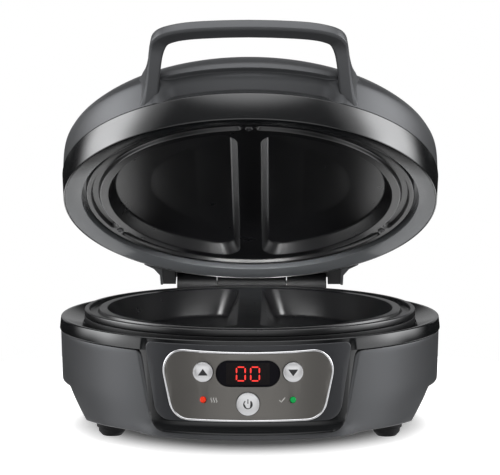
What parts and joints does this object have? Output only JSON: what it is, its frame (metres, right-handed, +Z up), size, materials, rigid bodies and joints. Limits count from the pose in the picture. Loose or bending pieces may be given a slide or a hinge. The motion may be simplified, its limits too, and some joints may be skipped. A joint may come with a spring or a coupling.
{
  "type": "omelette maker",
  "caption": "Round countertop omelette maker with a hinged domed lid, two half-moon non-stick wells, a lifting handle and a digital control panel at the front",
  "frame": {"origin": "centre of the bounding box in X and Y at the height of the feet's undersides, lid open at its pictured angle", "axes": "+Z up, the control panel faces -Y, +X to the right seen from the front"},
  "size_m": [0.272, 0.3044, 0.2931],
  "materials": {
    "gunmetal_plastic": "matte metallic",
    "gloss_dark_plastic": "gloss",
    "black_plastic": "satin",
    "nonstick_aluminium": "non-stick coated",
    "steel": "brushed",
    "bright_trim": "polished",
    "panel_metal": "brown-grey satin",
    "rubber": "matte",
    "circuit_board": "satin",
    "coil": "wound",
    "red_lens": "translucent",
    "green_lens": "translucent"
  },
  "bodies": {
    "base": {"lower_housing": "gunmetal_plastic", "top_bezel": "gloss_dark_plastic", "control_fascia": "gloss_dark_plastic", "display_window": "gloss_dark_plastic", "plate_collar": "black_plastic", "base_hinge_block": "black_plastic", "bottom_cover": "black_plastic", "side_grip_liner_left": "black_plastic", "side_grip_liner_right": "black_plastic", "digit_module": "black_plastic", "relay": "black_plastic", "lower_cooking_plate": "nonstick_aluminium", "lower_heating_element": "steel", "lower_heat_shield": "steel", "lower_thermostat": "steel", "hinge_pin_left": "steel", "hinge_pin_right": "steel", "switch_up": "steel", "switch_down": "steel", "switch_start": "steel", "panel_trim": "bright_trim", "thermal_fuse": "bright_trim", "control_panel": "panel_metal", "foot_front_left": "rubber", "foot_front_right": "rubber", "foot_rear_left": "rubber", "foot_rear_right": "rubber", "cable_gland": "rubber", "control_board": "circuit_board", "power_board": "circuit_board", "transformer": "coil", "indicator_heating": "red_lens", "indicator_ready": "green_lens"},
    "lid": {"lid_shell": "gunmetal_plastic", "lid_band": "gloss_dark_plastic", "lid_bezel": "gloss_dark_plastic", "lid_handle": "gunmetal_plastic", "upper_cooking_plate": "nonstick_aluminium", "upper_heating_element": "steel", "upper_heat_shield": "steel", "upper_thermostat": "steel", "lid_hinge_bracket": "black_plastic", "hinge_cover": "gunmetal_plastic"},
    "button_up": {"button_up": "steel"},
    "button_down": {"button_down": "steel"},
    "button_start": {"button_start": "steel"}
  },
  "joints": [
    {"name": "lid_hinge", "type": "hinge", "parent": "base", "child": "lid", "pos_m": [0, 0.13386, 0.0821], "axis": [1, 0, 0], "range_deg": [-60, 31]},
    {"name": "button_up_press", "type": "slide", "parent": "base", "child": "button_up", "axis": [0, 1, 0], "range_m": [0, 0.001], "stiffness_N_per_m": 1500, "springref_m": -0.0006},
    {"name": "button_down_press", "type": "slide", "parent": "base", "child": "button_down", "axis": [0, 1, 0], "range_m": [0, 0.001], "stiffness_N_per_m": 1500, "springref_m": -0.0006},
    {"name": "button_start_press", "type": "slide", "parent": "base", "child": "button_start", "axis": [0, 1, 0], "range_m": [0, 0.001], "stiffness_N_per_m": 1500, "springref_m": -0.0006}
  ]
}
